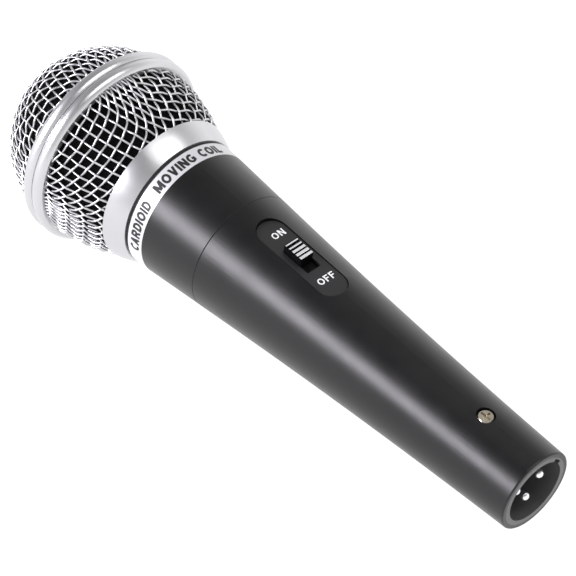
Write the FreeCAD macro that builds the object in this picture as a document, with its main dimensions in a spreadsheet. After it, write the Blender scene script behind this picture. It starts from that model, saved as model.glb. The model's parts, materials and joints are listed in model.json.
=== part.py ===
"""A hand-held dynamic microphone with an on-off switch and a screw-on ball grille.

Every sub-part is a solid of its own. +X runs along the axis from the tail to the tip of the
grille, +Z points to the side that carries the switch, and the origin is on the axis in the plane
of the tail's end face, where the plug goes in. Lengths are in millimetres, angles in degrees.
"""
import FreeCAD, Part
import math
import os
import re

import Sketcher

os.makedirs("parts", exist_ok=True)

# ---------------------------------------------------------------------------------------------
# Driving dimensions: alias, value, meaning
# ---------------------------------------------------------------------------------------------
DIMENSIONS = [
    # handle, neck and label ring
    ("tail_radius", 10.5, "outer radius of the handle at its tail"),
    ("tail_edge", 0.4, "rounding of the handle's tail edge"),
    ("flare_radius", 2090.0, "radius of the long hollow curve along the handle's side"),
    ("seam_x", 96.7, "where the handle tube ends and the neck sleeve begins"),
    ("seam_radius", 16.0, "outer radius at that seam"),
    ("seam_bevel", 0.15, "small bevel on both sides of the seam"),
    ("sleeve_end_x", 113.5, "where the neck sleeve ends and the label ring begins"),
    ("sleeve_end_radius", 17.3, "outer radius there"),
    ("label_end_x", 118.2, "front face of the label ring"),
    ("label_end_radius", 17.6, "outer radius of the label ring at its front"),
    ("throat_x", 21.0, "shoulder that the connector insert stops against"),
    ("throat_radius", 8.6, "bore radius just past that shoulder"),
    ("seat_x", 88.0, "where the conical bore meets the spigot's seat"),
    ("seat_radius", 13.2, "bore radius of the spigot's seat"),
    # threaded spigot
    ("spigot_radius", 14.6, "outer radius under the sleeve and the label ring"),
    ("spigot_bore", 12.0, "inner radius of the spigot"),
    ("thread_x", 119.2, "start of the spigot's thread"),
    ("thread_radius", 15.0, "crest radius of the spigot's thread"),
    ("thread_gap", 0.05, "radial clearance of the grille's thread on it"),
    ("spigot_end_x", 124.0, "front face of the spigot"),
    ("mount_x", 116.2, "bottom of the counterbore for the shock mount"),
    ("mount_radius", 12.9, "radius of that counterbore"),
    ("flange_radius", 14.2, "outer radius of the shock mount's flange"),
    ("flange_x", 126.2, "front face of the shock mount's flange"),
    ("flange_round", 0.8, "rounding of the flange's edge"),
    # seal ring in the dark groove
    ("seal_gap", 0.05, "play on each side of the seal ring"),
    ("seal_bore", 15.2, "inner radius of the seal ring"),
    ("seal_radius", 17.2, "outer radius of the seal ring"),
    # grille
    ("collar_x", 119.1, "rear face of the grille collar"),
    ("collar_radius", 17.75, "outer radius of the collar at its rear"),
    ("collar_end_x", 124.7, "front face of the collar"),
    ("collar_end_radius", 19.9, "outer radius of the collar at its front"),
    ("collar_curve", 26.0, "radius of the collar's rounded outside"),
    ("nut_radius", 16.6, "outer radius of the threaded insert in the collar"),
    ("basket_radius", 19.6, "outer radius of the lower mesh where it leaves the collar"),
    ("basket_end_radius", 24.4, "outer radius of the lower mesh at the band"),
    ("basket_curve", 47.0, "radius of the lower mesh's bulge"),
    ("mesh_wall", 0.9, "thickness of the woven mesh"),
    ("band_x", 141.3, "rear face of the band"),
    ("crease_x", 144.6, "crease between the band's two rings"),
    ("crease_gap", 0.06, "half the width of the crease"),
    ("band_end_x", 148.0, "front face of the band"),
    ("band_rear_radius", 24.9, "outer radius of the band at its rear"),
    ("band_front_radius", 24.9, "outer radius of the band at its front"),
    ("crease_radius", 25.5, "outer radius of both rings at the crease"),
    ("band_curve", 2.1, "radius of each ring's rounded outside"),
    ("band_bore", 23.45, "inner radius of the band"),
    ("dome_radius", 24.3, "outer radius of the ball's front half"),
    ("dome_centre_x", 146.0, "centre of that half on the axis"),
    ("foam_gap", 0.15, "play between the mesh and its foam lining"),
    ("foam_wall", 3.2, "thickness of the foam lining"),
    ("foam_x", 125.4, "rear edge of the lower foam"),
    ("foam_end_x", 141.8, "front edge of the lower foam"),
    ("foam_rear_radius", 18.9, "outer radius of the lower foam at its rear"),
    ("foam_front_radius", 23.0, "outer radius of the lower foam at its front"),
    ("foam_curve", 47.0, "radius of the lower foam's bulge"),
    ("dome_foam_x", 142.4, "rear edge of the dome's foam"),
    # connector insert in the tail
    ("shell_radius", 9.3, "outer radius of the connector shell"),
    ("socket_radius", 8.07, "inner radius of the socket that the plug enters"),
    ("socket_depth", 13.8, "depth of the socket"),
    ("shell_core", 7.2, "inner radius of the shell around the insulator"),
    ("insulator_end_x", 20.4, "rear face of the insulator inside the handle"),
    ("pin_tip_x", 1.5, "how far inside the rim the contact pins end"),
    ("pin_radius", 1.2, "radius of a contact pin"),
    ("pin_root", 1.5, "radius of a pin inside the insulator"),
    ("pin_cup_x", 25.0, "end of a pin's solder cup"),
    ("pin_cup_bore", 0.8, "radius of the hollow in a solder cup"),
    ("pin_cup_depth", 3.0, "depth of that hollow"),
    ("pin_circle", 3.93, "distance of the pins from the axis"),
    ("pin_angle", 75.0, "angle of pins 1 and 2 from the switch's side, in degrees"),
    ("notch_width", 2.6, "width of the notch in the socket's rim"),
    ("notch_radius", 8.85, "how far that notch reaches from the axis"),
    ("notch_depth", 4.0, "length of that notch along the axis"),
    ("notch_angle", -47.0, "angle of that notch from the switch's side, in degrees"),
    ("screw_x", 16.9, "place of the set screw along the handle"),
    ("screw_hole", 2.3, "radius of the hole in the handle over the screw"),
    ("screw_head", 2.0, "radius of the set screw's head"),
    ("screw_top", 10.75, "height of the set screw's head above the axis"),
    ("screw_shank", 1.5, "radius of the set screw's thread"),
    ("screw_slot", 0.5, "width of the cross in the screw's head"),
    ("screw_slot_depth", 0.7, "depth of the cross"),
    ("screw_slot_length", 2.9, "length of the cross"),
    ("screw_bevel", 0.25, "bevel around the screw's head"),
    ("leaf_width", 1.8, "width of the earth leaf"),
    ("leaf_wall", 0.3, "thickness of the earth leaf"),
    ("leaf_length", 1.7, "length of the earth leaf from pin 1 to the shell"),
    # switch, in its own frame: u along the handle's side, v across it, n out of it
    ("switch_x", 77.0, "place of the switch's middle along the axis"),
    ("switch_z", 14.5, "height of the handle's surface above the axis there"),
    ("switch_slope", 3.9, "slope of the handle's side at the switch, in degrees"),
    ("recess_length", 28.0, "length of the rounded recess in the handle"),
    ("recess_width", 8.2, "width of that recess"),
    ("recess_depth", 1.55, "depth of that recess below the handle's crown"),
    ("well_length", 25.0, "length of the opening under the plate"),
    ("well_width", 6.4, "width of that opening"),
    ("plate_length", 27.6, "length of the switch plate"),
    ("plate_width", 7.8, "width of the switch plate"),
    ("plate_top", 0.75, "depth of the plate's face below the handle's crown"),
    ("window_length", 8.6, "length of the plate's window"),
    ("window_width", 4.2, "width of the plate's window"),
    ("switch_travel", 2.6, "travel of the switch from ON to OFF"),
    ("knob_length", 5.7, "length of the knob"),
    ("knob_width", 3.9, "width of the knob"),
    ("knob_top", 1.1, "height of the knob's body above the handle's crown"),
    ("rib_top", 1.5, "height of the knob's ribs"),
    ("rib_width", 0.75, "width of one rib"),
    ("rib_pitch", 1.22, "distance from rib to rib"),
    ("rib_count", 5, "number of ribs"),
    ("shield_length", 11.8, "length of the knob's dust shield"),
    ("shield_width", 4.8, "width of the dust shield"),
    ("shield_top", 1.7, "depth of the shield's upper face"),
    ("shield_bottom", 2.05, "depth of the shield's lower face"),
    ("case_length", 18.0, "length of the switch's metal case"),
    ("case_width", 5.8, "width of the case"),
    ("case_top", 2.2, "depth of the case's upper face"),
    ("case_bottom", 6.8, "depth of the case's lower edge"),
    ("case_wall", 0.4, "wall thickness of the case"),
    ("case_lug", 1.5, "length of each lug that holds the case to the plate"),
    ("stem_length", 4.2, "length of the actuator's stem"),
    ("stem_width", 2.2, "width of the stem"),
    ("stem_top", 0.3, "depth of the stem's top inside the knob"),
    ("slot_play", 0.2, "play around the stem in the case's slot"),
    ("block_length", 9.0, "length of the actuator's block"),
    ("block_width", 4.4, "width of the block"),
    ("block_top", 2.75, "depth of the block's upper face"),
    ("block_bottom", 5.2, "depth of the block's lower face"),
    ("board_wall", 1.2, "thickness of the switch's base board"),
    ("contact_row", 1.6, "distance of each row of contacts from the middle"),
    ("contact_pitch", 3.2, "distance between contacts in a row"),
    ("contact_length", 1.2, "length of a contact's head"),
    ("contact_width", 1.0, "width of a contact's head"),
    ("contact_height", 0.6, "height of a contact's head"),
    ("lug_length", 0.8, "length of a solder lug's section"),
    ("lug_width", 0.4, "thickness of a solder lug"),
    ("lug_bottom", 11.0, "depth of the solder lugs' ends"),
    ("wiper_length", 4.4, "length of a wiper"),
    ("wiper_width", 0.8, "width of a wiper"),
    ("wiper_wall", 0.25, "thickness of a wiper"),
    ("wiper_foot", 0.7, "length of each foot of a wiper"),
    ("wiper_gap", 0.05, "play between a wiper's feet and the contacts"),
    # capsule
    ("snout_x", 111.0, "rear face of the capsule's snout"),
    ("snout_radius", 10.6, "outer radius of the snout, held by the shock mount"),
    ("chamber_radius", 9.4, "inner radius of the snout, the rear air chamber"),
    ("board_front_x", 112.2, "front face of the terminal board"),
    ("housing_radius", 13.2, "outer radius of the capsule's barrel"),
    ("web_x", 127.7, "front face of the web behind the magnet"),
    ("barrel_bore", 12.0, "inner radius of the barrel"),
    ("housing_end_x", 146.0, "front edge of the barrel"),
    ("felt_x", 129.2, "front face of the damping felt"),
    ("yoke_radius", 10.4, "outer radius of the steel yoke cup"),
    ("yoke_bore", 9.0, "inner radius of the yoke cup"),
    ("yoke_floor_x", 131.4, "front face of the yoke cup's floor"),
    ("gap_x", 140.0, "rear faces of the pole plate and the gap ring"),
    ("gap_end_x", 142.0, "front faces of the pole plate and the gap ring"),
    ("magnet_radius", 6.6, "radius of the magnet"),
    ("pole_radius", 7.1, "radius of the pole plate"),
    ("gap_radius", 8.35, "inner radius of the gap ring"),
    ("film_x", 143.0, "plane in which the diaphragm's edge is glued"),
    ("film_wall", 0.12, "thickness of the diaphragm"),
    ("dome_edge", 8.1, "radius where the dome's rim meets the surround"),
    ("cap_edge", 7.7, "radius where the dome leaves its rim"),
    ("cap_curve", 16.6, "radius of the diaphragm's dome"),
    ("roll_start", 8.6, "inner radius of the surround's roll"),
    ("roll_end", 11.2, "outer radius of the surround's roll"),
    ("roll_curve", 1.5, "radius of the surround's roll"),
    ("coil_bore", 7.6, "inner radius of the voice coil"),
    ("coil_radius", 7.9, "outer radius of the voice coil"),
    ("coil_x", 139.6, "rear edge of the voice coil"),
    ("front_cap_x", 147.2, "front face of the capsule's cap"),
    ("port_radius", 1.5, "radius of a sound port in the cap"),
    ("port_circle", 6.6, "distance of the ring of ports from the axis"),
    ("port_count", 8, "number of ports in the ring"),
    ("centre_port", 2.2, "radius of the port in the middle"),
    ("cap_round", 0.5, "rounding of the cap's edge"),
    ("tab_offset", 4.0, "distance of the capsule's solder tabs from the axis"),
    ("tab_width", 1.6, "width of a solder tab"),
    ("tab_wall", 0.4, "thickness of a solder tab"),
    ("tab_x", 108.0, "rear end of the solder tabs"),
    ("lead_radius", 0.5, "radius of an insulated wire"),
    ("lead_gap", 0.3, "room left for the solder at each end of a wire"),
]

LEFT = 1
RIGHT = -1
VALUES = {alias: value for alias, value, meaning in DIMENSIONS}

doc = FreeCAD.newDocument("dynamic_microphone")
dims = doc.addObject("Spreadsheet::Sheet", "dims")
for row, (alias, value, meaning) in enumerate(DIMENSIONS, start=1):
    dims.set(f"A{row}", alias)
    dims.set(f"B{row}", str(value))
    dims.setAlias(f"B{row}", alias)
    dims.set(f"C{row}", meaning)
doc.recompute()


# ---------------------------------------------------------------------------------------------
# Helpers: expressions, sketches and features
# ---------------------------------------------------------------------------------------------
def bound(formula):
    """The formula as an expression of the sheet: each alias gets the sheet's name before it."""
    return re.sub(r"[a-z_]+", lambda m: f"dims.{m[0]}" if m[0] in VALUES else m[0], formula)


def value(formula):
    """The number that a formula of aliases gives now."""
    return float(dims.evalExpression(bound(formula)))


def new_body(name):
    body = doc.addObject("PartDesign::Body", name)
    body.Label = name
    return body


def new_sketch(body, name, plane, offsets=()):
    """A sketch on one of the body's origin planes, moved by (axis letter, formula) pairs."""
    support = [item for item in body.Origin.OriginFeatures if item.Role == plane][0]
    sketch = body.newObject("Sketcher::SketchObject", name)
    sketch.AttachmentSupport = [(support, "")]
    sketch.MapMode = "FlatFace"
    for letter, formula in offsets:
        sketch.setExpression(f"AttachmentOffset.Base.{letter}", bound(formula))
    return sketch


def tilt_about_y(item, field, slope_formula):
    """Turn a placement field about Y, so that its +X climbs by the slope."""
    turn = FreeCAD.Rotation(FreeCAD.Vector(0, 1, 0), -value(slope_formula))
    setattr(item, field, FreeCAD.Placement(FreeCAD.Vector(), turn))
    item.setExpression(f"{field}.Rotation.Angle", bound(f"0 - {slope_formula}"))


def constrain(sketch, kind, index, formula, point=1):
    """One driven dimension: a coordinate of an edge's point, or an edge's radius."""
    if kind == "Radius":
        number = sketch.addConstraint(Sketcher.Constraint(kind, index, value(formula)))
    else:
        rule = Sketcher.Constraint(kind, -1, 1, index, point, value(formula))
        number = sketch.addConstraint(rule)
    sketch.setExpression(f"Constraints[{number}]", bound(formula))


def arc_between(start, end, radius, side):
    """The minor arc from start to end with its centre on the given side of the way."""
    chord = end - start
    half = chord.Length / 2
    normal = FreeCAD.Vector(-chord.y, chord.x, 0).normalize()
    centre = (start + end) / 2 + normal * side * math.sqrt(radius * radius - half * half)
    angles = [math.atan2(point.y - centre.y, point.x - centre.x) for point in (start, end)]
    if side == RIGHT:
        angles.reverse()
    return Part.ArcOfCircle(Part.Circle(centre, FreeCAD.Vector(0, 0, 1), radius), *angles)


def draw(sketch, corners):
    """A closed outline. A corner is (x, y), or (x, y, radius, side) where an arc leaves it."""
    points = [FreeCAD.Vector(value(corner[0]), value(corner[1]), 0) for corner in corners]
    first = sketch.GeometryCount
    starts = []
    ends = []
    for index, corner in enumerate(corners):
        here = points[index]
        there = points[(index + 1) % len(points)]
        if len(corner) == 2:
            sketch.addGeometry(Part.LineSegment(here, there), False)
        else:
            sketch.addGeometry(arc_between(here, there, value(corner[2]), corner[3]), False)
        backwards = len(corner) > 2 and corner[3] == RIGHT
        starts.append(2 if backwards else 1)
        ends.append(1 if backwards else 2)
    for index, corner in enumerate(corners):
        after = (index + 1) % len(corners)
        ring = (first + index, ends[index], first + after, starts[after])
        sketch.addConstraint(Sketcher.Constraint("Coincident", *ring))
    for index, corner in enumerate(corners):
        constrain(sketch, "DistanceX", first + index, corner[0], starts[index])
        constrain(sketch, "DistanceY", first + index, corner[1], starts[index])
        if len(corner) > 2:
            constrain(sketch, "Radius", first + index, corner[2])


def draw_circle(sketch, x, y, radius):
    """A circle with its centre and radius driven by formulas."""
    centre = FreeCAD.Vector(value(x), value(y), 0)
    circle = Part.Circle(centre, FreeCAD.Vector(0, 0, 1), value(radius))
    index = sketch.addGeometry(circle, False)
    constrain(sketch, "DistanceX", index, x, 3)
    constrain(sketch, "DistanceY", index, y, 3)
    constrain(sketch, "Radius", index, radius)


def rectangle(length, width, x="0", y="0"):
    """The corners of a rectangle about (x, y)."""
    reach = f"({length}) / 2"
    half = f"({width}) / 2"
    return [
        (f"{x} - {reach}", f"{y} - {half}"),
        (f"{x} + {reach}", f"{y} - {half}"),
        (f"{x} + {reach}", f"{y} + {half}"),
        (f"{x} - {reach}", f"{y} + {half}"),
    ]


def obround(length, width):
    """The corners of a slot shape about the origin: four quarter arcs and two straight sides."""
    straight = f"({length} - {width}) / 2"
    half = f"{width} / 2"
    return [
        (f"0 - {straight}", f"0 - {half}"),
        (straight, f"0 - {half}", half, LEFT),
        (f"{length} / 2", "0", half, LEFT),
        (straight, half),
        (f"0 - {straight}", half, half, LEFT),
        (f"0 - {length} / 2", "0", half, LEFT),
    ]


def revolve(body, corners, name=None):
    """Turn an outline of (x, radius) corners about the body's X axis."""
    sketch = new_sketch(body, name or f"{body.Name}_outline", "XZ_Plane")
    draw(sketch, corners)
    turned = body.newObject("PartDesign::Revolution", f"{sketch.Name}_turned")
    turned.Profile = sketch
    turned.ReferenceAxis = (sketch, ["H_Axis"])
    turned.Angle = 360
    doc.recompute()
    return turned


def turned_body(name, corners):
    """A body that is one outline turned about X."""
    body = new_body(name)
    revolve(body, corners)
    return body


def pad(body, name, corners, base, height, plane="XY_Plane"):
    """Raise an outline by a height from a base level along the plane's normal."""
    sketch = new_sketch(body, f"{name}_outline", plane, [("z", base)])
    draw(sketch, corners)
    raised = body.newObject("PartDesign::Pad", name)
    raised.Profile = sketch
    raised.setExpression("Length", bound(height))
    doc.recompute()
    return raised


def cut(body, sketch, name, depth):
    """Cut a sketch down against its normal, and check that something was removed."""
    before = body.Shape.Volume
    pocket = body.newObject("PartDesign::Pocket", name)
    pocket.Profile = sketch
    pocket.setExpression("Length", bound(depth))
    doc.recompute()
    if body.Shape.Volume > before - 1e-6:
        raise RuntimeError(f"{name} removed nothing from {body.Name}")
    return pocket


def cut_outline(body, name, corners, top, depth, plane="XY_Plane"):
    """Cut an outline from a top level down."""
    sketch = new_sketch(body, f"{name}_outline", plane, [("z", top)])
    draw(sketch, corners)
    return cut(body, sketch, name, depth)


def repeat_around_x(body, feature, count):
    """Repeat a feature around the X axis of the body."""
    axis = [item for item in body.Origin.OriginFeatures if item.Role == "X_Axis"][0]
    ring = body.newObject("PartDesign::PolarPattern", f"{feature.Name}_ring")
    ring.Originals = [feature]
    ring.Axis = (axis, [""])
    ring.Angle = 360
    ring.setExpression("Occurrences", bound(count))
    body.Tip = ring
    doc.recompute()
    return ring


def on_switch_frame(body):
    """Lay a body that is drawn in (u, v, n) onto the handle's sloping side."""
    tilt_about_y(body, "Placement", "switch_slope")
    body.setExpression("Placement.Base.x", bound("switch_x"))
    body.setExpression("Placement.Base.z", bound("switch_z"))
    doc.recompute()


# ---------------------------------------------------------------------------------------------
# Handle
# ---------------------------------------------------------------------------------------------
def cut_on_side(body, name, corners, depth):
    """Cut an outline into the handle's side, square to its slope, from above the crown."""
    sketch = new_sketch(body, f"{name}_outline", "XY_Plane")
    tilt_about_y(sketch, "AttachmentOffset", "switch_slope")
    lift = "rib_top"
    sketch.setExpression(
        "AttachmentOffset.Base.x", bound(f"switch_x - {lift} * sin(switch_slope)")
    )
    sketch.setExpression(
        "AttachmentOffset.Base.z", bound(f"switch_z + {lift} * cos(switch_slope)")
    )
    draw(sketch, corners)
    return cut(body, sketch, name, f"{lift} + {depth}")


SIDE_ARCS = 16
SIDE_LENGTH = "(seam_x - seam_bevel - tail_edge)"


def side_corners():
    """The handle's hollow side as a row of equal arcs, each (x, radius, curve, side).

    The radius is a straight taper less the hollow of a circle of the flare's radius.
    """
    corners = []
    for index in range(SIDE_ARCS):
        run = f"{SIDE_LENGTH} * {index} / {SIDE_ARCS}"
        rest = f"{SIDE_LENGTH} * {SIDE_ARCS - index} / {SIDE_ARCS}"
        taper = f"(seam_radius - tail_radius) * {index} / {SIDE_ARCS}"
        hollow = f"{run} * {rest} / (2 * flare_radius)"
        radius = f"tail_radius + {taper} - {hollow}"
        corners.append((f"tail_edge + {run}", radius, "flare_radius", LEFT))
    return corners


def make_handle_tube():
    """The cast tube that the hand holds, hollow along its side and open at both ends."""
    body = turned_body(
        "handle_tube",
        [
            ("0", "shell_radius"),
            ("0", "tail_radius - tail_edge", "tail_edge", RIGHT),
            *side_corners(),
            ("seam_x - seam_bevel", "seam_radius"),
            ("seam_x", "seam_radius - seam_bevel"),
            ("seam_x", "seat_radius"),
            ("seat_x", "seat_radius"),
            ("throat_x", "throat_radius"),
            ("throat_x", "shell_radius"),
        ],
    )
    cut_on_side(body, "switch_recess", obround("recess_length", "recess_width"), "recess_depth")
    well = obround("well_length", "well_width")
    cut_on_side(body, "switch_well", well, "recess_depth + recess_width")
    sketch = new_sketch(body, "screw_hole_outline", "XY_Plane", [("z", "seam_radius")])
    draw_circle(sketch, "screw_x", "0", "screw_hole")
    cut(body, sketch, "screw_hole_cut", "seam_radius - shell_core")
    return body


def make_neck_sleeve():
    """The black sleeve between the seam and the label ring."""
    return turned_body(
        "neck_sleeve",
        [
            ("seam_x", "spigot_radius"),
            ("seam_x", "seam_radius - seam_bevel"),
            ("seam_x + seam_bevel", "seam_radius"),
            ("sleeve_end_x", "sleeve_end_radius"),
            ("sleeve_end_x", "spigot_radius"),
        ],
    )


def make_label_ring():
    """The pale ring under the grille that carries the wording."""
    return turned_body(
        "label_ring",
        [
            ("sleeve_end_x", "spigot_radius"),
            ("sleeve_end_x", "sleeve_end_radius"),
            ("label_end_x - seam_bevel", "label_end_radius"),
            ("label_end_x", "label_end_radius - seam_bevel"),
            ("label_end_x", "spigot_radius"),
        ],
    )


def make_neck_spigot():
    """The threaded tube pressed into the handle: it holds the sleeve, ring, mount and grille."""
    return turned_body(
        "neck_spigot",
        [
            ("seat_x", "spigot_bore"),
            ("seat_x", "seat_radius"),
            ("seam_x", "seat_radius"),
            ("seam_x", "spigot_radius"),
            ("thread_x", "spigot_radius"),
            ("thread_x", "thread_radius"),
            ("spigot_end_x", "thread_radius"),
            ("spigot_end_x", "mount_radius"),
            ("mount_x", "mount_radius"),
            ("mount_x", "spigot_bore"),
        ],
    )


def make_shock_mount():
    """The rubber ring that carries the capsule in the spigot's mouth."""
    return turned_body(
        "shock_mount_ring",
        [
            ("mount_x", "snout_radius"),
            ("mount_x", "mount_radius"),
            ("spigot_end_x", "mount_radius"),
            ("spigot_end_x", "flange_radius"),
            ("flange_x - flange_round", "flange_radius", "flange_round", RIGHT),
            ("flange_x", "flange_radius - flange_round"),
            ("flange_x", "snout_radius"),
        ],
    )


# ---------------------------------------------------------------------------------------------
# Connector in the tail
# ---------------------------------------------------------------------------------------------
def cut_rim_slot(body, name, width, reach, depth, angle):
    """A slot in the socket's wall, open at the rim, at an angle about X from +Z."""
    sketch = new_sketch(body, f"{name}_outline", "YZ_Plane", [("z", depth)])
    draw(sketch, rectangle(width, "2 * pin_circle", "0", f"{reach} - pin_circle"))
    turn = FreeCAD.Rotation(FreeCAD.Vector(0, 0, 1), -value(angle))
    offset = sketch.AttachmentOffset
    sketch.AttachmentOffset = FreeCAD.Placement(offset.Base, turn)
    sketch.setExpression("AttachmentOffset.Rotation.Angle", bound(f"0 - {angle}"))
    return cut(body, sketch, name, depth)


def make_connector_shell():
    """The metal shell around the socket, thicker around the insulator, with a notch in its rim."""
    body = turned_body(
        "xlr_shell",
        [
            ("0", "socket_radius"),
            ("0", "shell_radius"),
            ("throat_x", "shell_radius"),
            ("throat_x", "shell_core"),
            ("socket_depth", "shell_core"),
            ("socket_depth", "socket_radius"),
        ],
    )
    cut_rim_slot(body, "rim_notch", "notch_width", "notch_radius", "notch_depth", "notch_angle")
    sketch = new_sketch(body, "screw_thread_outline", "XY_Plane", [("z", "shell_radius")])
    draw_circle(sketch, "screw_x", "0", "screw_shank")
    cut(body, sketch, "screw_thread", "shell_radius")
    return body


def pin_places():
    """The (y, z) formulas of the three contact pins: two on the switch's side, one opposite."""
    side = "pin_circle * sin(pin_angle)"
    height = "pin_circle * cos(pin_angle)"
    return [(side, height), (f"0 - {side}", height), ("0", "0 - pin_circle")]


def make_insulator():
    """The moulded disc that holds the three pins."""
    body = turned_body(
        "xlr_insulator",
        [
            ("socket_depth", "0"),
            ("socket_depth", "shell_core"),
            ("insulator_end_x", "shell_core"),
            ("insulator_end_x", "0"),
        ],
    )
    sketch = new_sketch(body, "pin_holes_outline", "YZ_Plane", [("z", "insulator_end_x")])
    for y, z in pin_places():
        draw_circle(sketch, y, z, "pin_root")
    cut(body, sketch, "pin_holes", "insulator_end_x - socket_depth")
    return body


def make_pin(number, y, z):
    """A contact pin: round nose, shank, a thicker root in the insulator and a solder cup."""
    body = turned_body(
        f"xlr_pin_{number}",
        [
            ("pin_tip_x", "0", "pin_radius", RIGHT),
            ("pin_tip_x + pin_radius", "pin_radius"),
            ("socket_depth", "pin_radius"),
            ("socket_depth", "pin_root"),
            ("insulator_end_x", "pin_root"),
            ("insulator_end_x", "pin_radius"),
            ("pin_cup_x", "pin_radius"),
            ("pin_cup_x", "pin_cup_bore"),
            ("pin_cup_x - pin_cup_depth", "pin_cup_bore"),
            ("pin_cup_x - pin_cup_depth", "0"),
        ],
    )
    body.setExpression("Placement.Base.y", bound(y))
    body.setExpression("Placement.Base.z", bound(z))
    return body


def make_earth_leaf():
    """The flat leaf behind the insulator that joins pin 1 to the shell."""
    body = new_body("xlr_ground_leaf")
    middle = "pin_circle + pin_radius + leaf_length / 2"
    outline = rectangle("leaf_length", "leaf_width", middle, "0")
    pad(body, "leaf", outline, "insulator_end_x", "leaf_wall", "YZ_Plane")
    turn = FreeCAD.Rotation(FreeCAD.Vector(1, 0, 0), value("90 - pin_angle"))
    body.Placement = FreeCAD.Placement(FreeCAD.Vector(), turn)
    body.setExpression("Placement.Rotation.Angle", bound("90 - pin_angle"))
    return body


def make_set_screw():
    """The small cross-head screw that locks the insert in the handle."""
    body = new_body("xlr_set_screw")
    sketch = new_sketch(body, "screw_outline", "XZ_Plane")
    draw(
        sketch,
        [
            ("0", "shell_core"),
            ("screw_shank", "shell_core"),
            ("screw_shank", "shell_radius"),
            ("screw_head", "shell_radius"),
            ("screw_head", "screw_top - screw_bevel"),
            ("screw_head - screw_bevel", "screw_top"),
            ("0", "screw_top"),
        ],
    )
    turned = body.newObject("PartDesign::Revolution", "screw_turned")
    turned.Profile = sketch
    turned.ReferenceAxis = (sketch, ["V_Axis"])
    turned.Angle = 360
    doc.recompute()
    for name, arm in (
        ("cross_along", rectangle("screw_slot_length", "screw_slot")),
        ("cross_across", rectangle("screw_slot", "screw_slot_length")),
    ):
        cut_outline(body, name, arm, "screw_top", "screw_slot_depth")
    body.setExpression("Placement.Base.x", bound("screw_x"))
    return body


# ---------------------------------------------------------------------------------------------
# Switch, drawn in (u, v, n) and then laid on the handle's side
# ---------------------------------------------------------------------------------------------
ON_PLACE = "switch_travel / 2"


def make_switch_plate():
    """The rounded plate in the recess, with the window for the knob."""
    body = new_body("switch_plate")
    thickness = "recess_depth - plate_top"
    pad(body, "plate", obround("plate_length", "plate_width"), "0 - recess_depth", thickness)
    window = rectangle("window_length", "window_width")
    cut_outline(body, "plate_window", window, "0 - plate_top", thickness)
    on_switch_frame(body)
    return body


def make_switch_case():
    """The bent metal case under the plate, open below, with a slot on top and a lug at each end."""
    body = new_body("switch_case")
    outside = rectangle("case_length", "case_width")
    pad(body, "case_block", outside, "0 - case_bottom", "case_bottom - recess_depth")
    trough = rectangle("case_length - 2 * case_lug", "case_width")
    cut_outline(body, "shield_trough", trough, "0 - recess_depth", "case_top - recess_depth")
    inside = rectangle("case_length - 2 * case_wall", "case_width - 2 * case_wall")
    sketch = new_sketch(body, "case_hollow_outline", "XY_Plane", [("z", "0 - case_top - case_wall")])
    draw(sketch, inside)
    cut(body, sketch, "case_hollow", "case_bottom - case_top - case_wall")
    slot = rectangle(
        "stem_length + switch_travel + 2 * slot_play", "stem_width + 2 * slot_play"
    )
    cut_outline(body, "stem_slot", slot, "0 - case_top", "case_wall")
    on_switch_frame(body)
    return body


def make_switch_base():
    """The board that closes the case and carries the contacts."""
    body = new_body("switch_base")
    sketch = new_sketch(
        body, "base_board_outline", "XY_Plane", [("z", "0 - case_bottom - board_wall")]
    )
    draw(sketch, rectangle("case_length", "case_width"))
    for v in ("contact_row", "0 - contact_row"):
        for u in ("0 - contact_pitch", "0", "contact_pitch"):
            draw(sketch, rectangle("lug_length", "lug_width", u, v))
    raised = body.newObject("PartDesign::Pad", "base_board")
    raised.Profile = sketch
    raised.setExpression("Length", bound("board_wall"))
    doc.recompute()
    on_switch_frame(body)
    return body


def make_switch_terminals():
    """Six contacts, each a flat head on the board and a solder lug through it."""
    solids = []
    for row_number, v in enumerate(("contact_row", "0 - contact_row"), start=1):
        for number, u in enumerate(("0 - contact_pitch", "0", "contact_pitch"), start=1):
            tag = f"{row_number}{number}"
            pieces = []
            for kind, length, width, low, high in (
                ("head", "contact_length", "contact_width",
                 "0 - case_bottom", "contact_height"),
                ("lug", "lug_length", "lug_width",
                 "0 - lug_bottom", "lug_bottom - case_bottom"),
            ):
                box = doc.addObject("Part::Box", f"contact_{kind}_{tag}")
                box.setExpression("Length", bound(length))
                box.setExpression("Width", bound(width))
                box.setExpression("Height", bound(high))
                box.setExpression("Placement.Base.x", bound(f"{u} - {length} / 2"))
                box.setExpression("Placement.Base.y", bound(f"{v} - {width} / 2"))
                box.setExpression("Placement.Base.z", bound(low))
                pieces.append(box)
            joined = doc.addObject("Part::Fuse", f"contact_{tag}")
            joined.Base, joined.Tool = pieces
            solids.append(joined)
    group = doc.addObject("Part::Compound", "switch_terminals")
    group.Links = solids
    group.Label = "switch_terminals"
    doc.recompute()
    on_switch_frame(group)
    return group


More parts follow.
